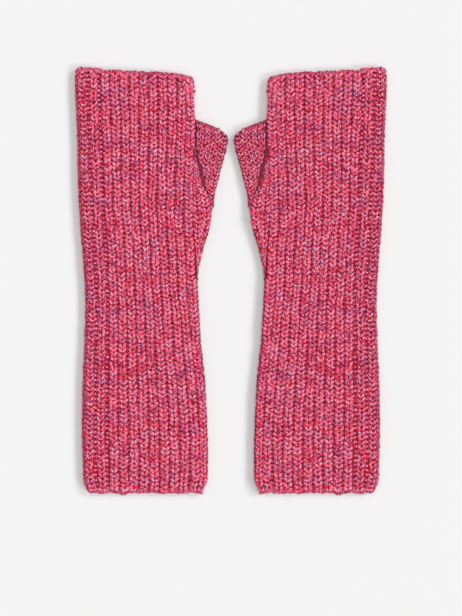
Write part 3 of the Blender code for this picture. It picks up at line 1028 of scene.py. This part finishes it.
def make_stitch_setter():
    tree, w = new_tree("set stitches", "GeometryNodeTree", {"Stitches": "Geometry"},
                       {"Bed": "Geometry", "Shapes": "Collection", "Shift": "Float", "Tilt": "Float",
                        "Size Change": "Float", "Seed": "Int", "Wool": "Material"})
    given = w.node("NodeGroupInput")

    def between(reach, salt):
        """A random vector from -reach to reach, different for each salt."""
        low = w.math("MULTIPLY", reach, -1.0)
        seed = w.math("ADD", given["Seed"], float(salt))
        ends = {"Min": low, "Max": reach, "Seed": seed}
        return w.node("FunctionNodeRandomValue", ends, data_type="FLOAT_VECTOR")[0]

    ways = {"Primary Axis": w.attribute("face", "FLOAT_VECTOR"),
            "Secondary Axis": w.attribute("along", "FLOAT_VECTOR")}
    facing = w.node("FunctionNodeAxesToRotation", ways, primary_axis="Z", secondary_axis="Y")[0]
    tilt = w.node("FunctionNodeEulerToRotation", {"Euler": between(given["Tilt"], 1)})[0]
    turned = w.node("FunctionNodeRotateRotation", {"Rotation": facing, "Rotate By": tilt},
                    rotation_space="LOCAL")[0]
    change = w.node("ShaderNodeVectorMath", {0: between(given["Size Change"], 5), 1: (1.0, 1.0, 1.0)},
                    operation="ADD")[0]
    stretch = w.node("ShaderNodeVectorMath", {0: w.attribute("stretch", "FLOAT_VECTOR"), 1: change},
                     operation="MULTIPLY")[0]
    shift = between(given["Shift"], 2)
    moved = w.node("GeometryNodeSetPosition", {"Geometry": given["Bed"], "Offset": shift})[0]
    shapes = w.node("GeometryNodeCollectionInfo", {"Collection": given["Shapes"], "Separate Children": True,
                                                   "Reset Children": True})[0]
    placed = w.node("GeometryNodeInstanceOnPoints", {
        "Points": moved, "Instance": shapes, "Pick Instance": True,
        "Instance Index": w.attribute("kind", "INT"), "Rotation": turned, "Scale": stretch})[0]
    lot = w.node("FunctionNodeRandomValue", {"Seed": w.math("ADD", given["Seed"], 3.0)}, data_type="FLOAT")
    noted = w.node("GeometryNodeStoreNamedAttribute", {"Geometry": placed, "Name": "stitch_lot",
                                                       "Value": lot[1]},
                   data_type="FLOAT", domain="INSTANCE")[0]
    real = w.node("GeometryNodeRealizeInstances", {"Geometry": noted})[0]
    spot = w.node("ShaderNodeSeparateXYZ", {0: w.node("GeometryNodeInputPosition")[0]})
    above_floor = w.math("MAXIMUM", spot[2], 0.0)
    held = w.node("ShaderNodeCombineXYZ", {0: spot[0], 1: spot[1], 2: above_floor})[0]
    pressed = w.node("GeometryNodeSetPosition", {"Geometry": real, "Position": held})[0]
    done = w.node("GeometryNodeSetMaterial", {"Geometry": pressed, "Material": given["Wool"]})[0]
    w.node("NodeGroupOutput", {"Stitches": done})
    return tree


stitch_setter = make_stitch_setter()
print("stitch setter:", len(stitch_setter.nodes), "nodes")

# %% [markdown]
# A bed is a mesh of loose points, one for each stitch. Every point knows which way its column runs, which
# way is out of the cloth, how far to stretch the stitch so that it fills its column, and which shape to
# take. The stitches could be placed as thousands of objects, but one mesh of points takes far less room.

# %% Beds of stitches
SHIFT = 0.21 * MM
TILT = 0.14
SIZE_CHANGE = 0.09


def make_bed(name, rows):
    """A bed from rows of (place, along, face, stretch, kind)."""
    places, along, face, stretch, kinds = (np.concatenate(parts) for parts in zip(*rows))
    mesh = bpy.data.meshes.new(name)
    mesh.from_pydata(in_metres(places), [], [])
    for label, values in (("along", along), ("face", face), ("stretch", stretch)):
        layer = mesh.attributes.new(label, "FLOAT_VECTOR", "POINT")
        layer.data.foreach_set("vector", values.astype(np.float32).ravel())
    mesh.attributes.new("kind", "INT", "POINT").data.foreach_set("value", kinds.astype(np.int32))
    return bpy.data.objects.new(name, mesh)


def set_stitches(name, rows, wool):
    """Makes a piece of the right mitt from its rows of stitches."""
    bed = make_bed("right_" + name, rows)
    right_pieces[name] = worked(bed, stitch_setter, shapes=stitch_book, shift=SHIFT, tilt=TILT,
                                size_change=SIZE_CHANGE, seed=7, wool=wools[wool])


print("a stitch shifts by up to", SHIFT / MM, "mm and tilts by up to", round(math.degrees(TILT)), "degrees")

# %% [markdown]
# A column is never quite straight nor its courses quite level, so both sway a little on the way up. Each
# stitch could be given a direction and a width by hand, but places close by on the cloth tell both, so one
# function serves every column. The columns that turn over a fold face sideways and have one of their own.

# %% Stitches up a column
STEP_UP = 0.002  # steps along and across a column, as shares, from which its direction is worked out
STEP_ASIDE = 0.05
HEM_GAP = 0.55  # courses from a hem to the first stitch
THINNEST, THICKEST = 0.62, 1.05  # how far the yarn's thickness follows its stitch's width
NARROWEST = 0.9  # the least half width that still has room for a stitch where columns are cut off
NARROWEST_RIB = 2.3  # the least half width of a rib that shows both its legs
FOLD_YARN = 0.85  # the yarn of the columns that turn over a fold is a little thinner

# Each wave's height, how slowly it turns, and how far it is ahead of the wave in the column beside it.
ASIDE_WAVES = ((0.26, 11.0, 2.4), (0.17, 4.3, 1.3))
# Each wave's height, and how slowly it turns across the mitt and up it.
UP_WAVES = ((0.55, 9.0, 31.0), (0.40, 4.1, -17.0))


def swayed(share, rise, places, column):
    """Shares and rises moved off a column's ruled line by a fraction of a millimetre."""
    out, height = places[:, 0], places[:, 1]
    aside = sum(tall * np.sin(height / slow + turn * column) for tall, slow, turn in ASIDE_WAVES)
    up = sum(tall * np.sin(out / slow + height / slow_up) for tall, slow, slow_up in UP_WAVES)
    return share + aside / NOMINAL_WIDE, rise + up / NOMINAL_LONG


def column_path(surface, borders, column, rise, across):
    """Places on a column at a share across it, for shares of the length."""
    middle = surface(np.full(len(rise), 0.5), rise)
    edges = borders(middle[:, 1])
    share = edges[:, column] + across * (edges[:, column + 1] - edges[:, column])
    ruled = surface(share, rise)
    return surface(*swayed(share, rise, ruled, column))


def column_rows(surface, borders, column, kind, courses, across=0.5, half_width=None, narrowest=0.0):
    """The stitches of one column, each turned along it and stretched to fill it."""

    def place(rise, across):
        return column_path(surface, borders, column, rise, across)

    rise = np.linspace(HEM_GAP / courses, 1.0 - HEM_GAP / courses, courses)
    up = place(rise + STEP_UP, across)
    down = place(rise - STEP_UP, across)
    along = unit(up - down)
    face = unit(np.cross(along, place(rise, across + STEP_ASIDE) - place(rise, across - STEP_ASIDE)))
    half = np.linalg.norm(place(rise, 0.0) - place(rise, 1.0), axis=-1) / 2.0
    if half_width is not None:
        half = np.full(len(half), half_width)
    wide = half / NOMINAL_HALF_WIDTH
    length = np.linalg.norm(up - down, axis=-1) / (2.0 * STEP_UP * courses)
    stretch = np.stack([wide, length / COURSE, np.clip(wide, THINNEST, THICKEST)], axis=-1)
    kinds = np.full(len(rise), KINDS[kind])
    if kind == "a_rib":
        kinds = np.where(half < NARROWEST_RIB, KINDS["g_half_rib"], kinds)
    rows = (place(rise, across), along, face, stretch, kinds)
    return tuple(values[half >= narrowest] for values in rows)


def fold_rows(surface, share, facing, courses, half_width, first=1.2, last=1.2, size=1.0):
    """The column that turns over a fold and faces sideways. It starts and ends some courses from the hems."""
    rise = np.linspace(first / courses, 1.0 - last / courses, round(courses - first - last) + 1)
    shares = np.full(len(rise), share)
    spots = surface(shares, rise)
    along = unit(surface(shares, rise + STEP_UP) - surface(shares, rise - STEP_UP))
    face = np.stack([facing * along[:, 1], -facing * along[:, 0], np.zeros(len(rise))], axis=-1)
    stretch = np.array([half_width / NOMINAL_HALF_WIDTH, size, FOLD_YARN * size])
    return spots, along, face, np.broadcast_to(stretch, spots.shape), np.full(len(rise), KINDS["e_fold"])


def turned_over(rows):
    """The same rows with their faces turned to the other side of the cloth."""
    spots, along, face, stretch, kinds = rows
    return spots, along, -face, stretch, kinds


def cloth(place_on, layer, sink=0.0):
    """A layer of cloth, as something that gives the places for shares and rises."""
    return lambda share, rise: place_on(share, rise, layer, sink=sink)


print("where columns are cut off, one narrower than", 2.0 * NARROWEST, "mm gets no stitch")

# %% [markdown]
# The hand takes six beds, so that a piece stays small enough to handle: the ribs with the two columns beside
# the thumb, the side band with its purl furrow and its seam, the purl bumps deep in the gutters, the columns
# that turn over the outer and over the inner fold, and the underside, where the stitches are pressed flat.

# %% The hand's stitches
FURROW_SINK, FURROW_HALF = 0.45, 1.8  # how deep purl bumps lie, and half their width
GUTTER_SINK, GUTTER_HALF = 1.05, 1.7
FOLD_HALF = 2.4

front_cloth = cloth(on_hand, "front")
furrow_cloth = cloth(on_hand, "front", FURROW_SINK)
gutter_cloth = cloth(on_hand, "front", GUTTER_SINK)
back_cloth = cloth(on_hand, "back")


def hand_rows(columns, kind, surface=front_cloth, borders=front_borders, **shape):
    """The stitches of some of the hand's columns."""
    return [column_rows(surface, borders, column, kind, HAND_COURSES, **shape) for column in columns]


rib_rows = hand_rows(range(FIRST_RIB, LAST_RIB + 1), "a_rib")
rib_rows += hand_rows(GUSSET_COLUMNS, "b_plain", narrowest=NARROWEST)
set_stitches("ribs", rib_rows, "rib wool")

band_rows = hand_rows([FLAT], "c_flat") + hand_rows([PLAIN], "b_plain")
band_rows += hand_rows([FURROW, SEAM], "f_purl", furrow_cloth, half_width=FURROW_HALF)
set_stitches("side_band", band_rows, "rib wool")

gutters = range(FIRST_RIB + 1, LAST_RIB + 1)
gutter_rows = hand_rows(gutters, "f_purl", gutter_cloth, across=0.0, half_width=GUTTER_HALF)
# The gutter wool carries painted shade of the gutters.
set_stitches("gutters", gutter_rows, "gutter wool")

# The edge wool carries painted shade of the folds.
edge_rows = hand_rows([RIM], "c_flat") + [fold_rows(front_cloth, 0.0, 1.0, HAND_COURSES, FOLD_HALF)]
set_stitches("outer_edge", edge_rows, "edge wool")
# The inner edge wool carries stronger painted shade of the fold.
inner_rows = [fold_rows(front_cloth, 1.0, -1.0, HAND_COURSES, FOLD_HALF)]
set_stitches("inner_edge", inner_rows, "inner edge wool")

back_rows = hand_rows(range(BACK_RIBS + 2), "d_pressed", back_cloth, back_borders)
set_stitches("underside", [turned_over(rows) for rows in back_rows], "underside wool")
print({name: len(piece.data.polygons) for name, piece in right_pieces.items()})

# %% [markdown]
# The thumb has a flat column beside its fold and four plain ones. The crease cuts them off one after the
# other, and where hardly anything of a column is left it has no stitch. Beside the opening's outer corner the
# stitches are drawn smaller, as they turn with it. One more column runs along the crease itself: its wool is
# darkened with painted shade at the bottom of the groove, and where it comes out at the thumb's tip it is set
# in the thumb's own, lighter wool.

# %% The thumb's stitches
THUMB_COURSE = 2.7
THUMB_COURSES = round((THUMB_HEM - THUMB_TIP) / THUMB_COURSE)
THUMB_FOLD_HALF = 2.1
CREASE_LIFT = 2.6
CREASE_END = 6.5  # how far past the opening's outer corner the crease runs up
CREASE_WIDE, CREASE_YARN = 1.25, 0.8  # its stitches fill more than their room, with thinner yarn
CORNER_ROOM, SMALLEST = 5.5, 0.6  # this close to the opening's outer corner, stitches are smaller
UPWARD = np.array([0.0, 0.0, 1.0])

thumb_cloth = cloth(on_thumb, "front")
thumb_under_cloth = cloth(on_thumb, "back")


def tucked_in(rows):
    """The same rows, with the stitches beside the opening's outer corner drawn smaller."""
    spots, along, face, stretch, kinds = rows
    from_corner = np.hypot(spots[:, 0] - thumb_fold[-1], spots[:, 1] - THUMB_HEM)
    size = np.clip(from_corner / CORNER_ROOM, SMALLEST, 1.0)
    return spots, along, face, stretch * size[:, None], kinds


def crease_rows(heights, lift):
    """A column along the crease, on the thumb's side of the hand's fold."""

    def half_room(height):
        """Half the width between the hand's fold and the thumb's, or less where there is plenty."""
        return np.clip(beside_thumb(height), 1.0, crease_width(height)) / 2.0

    def middle(height):
        out = crease_line(height) - half_room(height)
        return np.stack([out, height, np.full(len(height), lift)], axis=-1)

    spots = middle(heights)
    along = unit(middle(heights + 0.5) - middle(heights - 0.5))
    wide = CREASE_WIDE * half_room(heights) / NOMINAL_HALF_WIDTH
    stretch = np.stack([wide, np.ones_like(wide), np.full_like(wide, CREASE_YARN)], axis=-1)
    return spots, along, np.broadcast_to(UPWARD, spots.shape), stretch, np.full(len(wide), KINDS["b_plain"])


crease_bed = [crease_rows(np.arange(TIP_END, THUMB_HEM + CREASE_END, 0.9 * COURSE), CREASE_LIFT)]
# The crease wool carries the groove's painted shade.
set_stitches("crease", crease_bed, "crease wool")

# Here the shares run towards the hand, so the front's faces come out turned down and the underside's don't.
thumb_rows = [crease_rows(np.arange(THUMB_TIP + 1.0, TIP_END, THUMB_COURSE), THUMB_FOLD_LIFT + 0.8)]
for column, kind in enumerate(("c_flat", "b_plain", "b_plain", "b_plain", "b_plain")):
    above = column_rows(thumb_cloth, thumb_borders, column, kind, THUMB_COURSES, narrowest=NARROWEST)
    below = column_rows(thumb_under_cloth, thumb_under_borders, column, "d_pressed", THUMB_COURSES,
                        narrowest=NARROWEST)
    thumb_rows += [tucked_in(turned_over(above)), tucked_in(below)]
set_stitches("thumb", thumb_rows, "thumb wool")
print("thumb stitches:", sum(len(rows[0]) for rows in thumb_rows))

# %% [markdown]
# ## Hems
#
# The knit is cast off with a chain: stitches that lie on their side along the edge. The chain runs along the
# front and the underside at both ends of the hand and round the thumb's opening. At the cuff the yarn's end
# is darned in, and a short loop of it stands out.

# %% The chains along the hems
CHAIN_STEP = 3.45
CHAIN_LEAN, CHAIN_LIFT = 0.45, 0.89  # leaning no further, the two layers' chains leave the slit open
HEM_CHAIN, MOUTH_CHAIN = 82.0, 22.0  # the chains' lengths
MOUTH_YARN = 0.62


def chain_rows(surface, rise, shares, lean, flip, thickness=0.76):
    """A chain along a hem. lean is the way out of the tube, and flip is 1 on the front and -1 below."""
    rises = np.full(len(shares), rise)
    spots = surface(shares, rises)
    along = unit(surface(shares + STEP_UP, rises) - surface(shares - STEP_UP, rises))
    outward = np.array([0.0, CHAIN_LEAN * lean, CHAIN_LIFT * flip])
    face = unit(outward - along * (along @ outward)[:, None])
    size = np.array([thickness + 0.1, CHAIN_STEP / COURSE, thickness])
    return spots, along, face, np.broadcast_to(size, spots.shape), np.full(len(spots), KINDS["h_hem"])


def loose_end_rows():
    """The yarn's end, darned in at the cuff hem, of which a short loop stands out."""
    spots = np.array([[77.2, -0.6, 1.8], [75.3, -0.8, 1.6]])
    along = unit(np.array([[-0.6, -0.8, 0.0], [-0.5, 0.85, 0.1]]))
    stretch = np.array([[0.60, 0.62, 0.70], [0.55, 0.55, 0.70]])
    return spots, along, np.broadcast_to(UPWARD, spots.shape), stretch, np.full(2, KINDS["h_hem"])


hem_shares = np.linspace(0.025, 0.965, round(HEM_CHAIN / CHAIN_STEP))
hem_rows = [chain_rows(surface, rise, hem_shares, lean, flip) for rise, lean in ((0.0, -1.0), (1.0, 1.0))
            for surface, flip in ((front_cloth, 1.0), (back_cloth, -1.0))]
# The edge wool paints shade along the hems.
set_stitches("hems", hem_rows + [loose_end_rows()], "edge wool")

mouth_shares = np.linspace(1.2, 21.0, round(MOUTH_CHAIN / CHAIN_STEP)) / THUMB_SPAN
mouth_rows = [chain_rows(surface, 1.0, mouth_shares, 1.0, flip, MOUTH_YARN)
              for surface, flip in ((thumb_cloth, 1.0), (thumb_under_cloth, -1.0))]
thumb_fold_rows = fold_rows(thumb_cloth, 0.0, -1.0, THUMB_COURSES, THUMB_FOLD_HALF, 0.3, 0.5,
                            THUMB_COURSE / COURSE)
# The inner edge wool paints shade round the thumb's opening and along its fold.
set_stitches("thumb_edges", mouth_rows + [thumb_fold_rows], "inner edge wool")
print("chain links:", sum(len(rows[0]) for rows in hem_rows + mouth_rows))

# %% [markdown]
# ## The pair
#
# The left mitt is a copy of the right one with every point taken to the other side of the midline. That turns
# the faces inside out, so they are flipped back. Every piece rides on the one body, and the imported plain
# layers are hidden, with the two tubes of ground cloth in their place.

# %% Mirror and attach
ON_THE_THUMB = ("thumb", "crease", "thumb_edges")
SLOTS = {"underside": "back_knit", **dict.fromkeys(("thumb_ground", *ON_THE_THUMB), "thumb_knit")}


def mirror_image(piece, name):
    mesh = piece.data.copy()
    points = np.empty(len(mesh.vertices) * 3, dtype=np.float32)
    mesh.vertices.foreach_get("co", points)
    points = points.reshape(-1, 3) * np.array([-1.0, 1.0, 1.0], dtype=np.float32)
    mesh.vertices.foreach_set("co", points.ravel())
    mesh.flip_normals()
    mesh.name = name
    return bpy.data.objects.new(name, mesh)


for mitt in ("right", "left"):
    for name, piece in right_pieces.items():
        made = piece if mitt == "right" else mirror_image(piece, f"left_{name}")
        bpy.context.scene.collection.objects.link(made)
        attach(made, "root")
        print(made.name, sum(len(face.vertices) - 2 for face in made.data.polygons), "triangles")
    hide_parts(f"{mitt}_hand_front", f"{mitt}_hand_back")
    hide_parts(f"{mitt}_thumb_front", f"{mitt}_thumb_back")
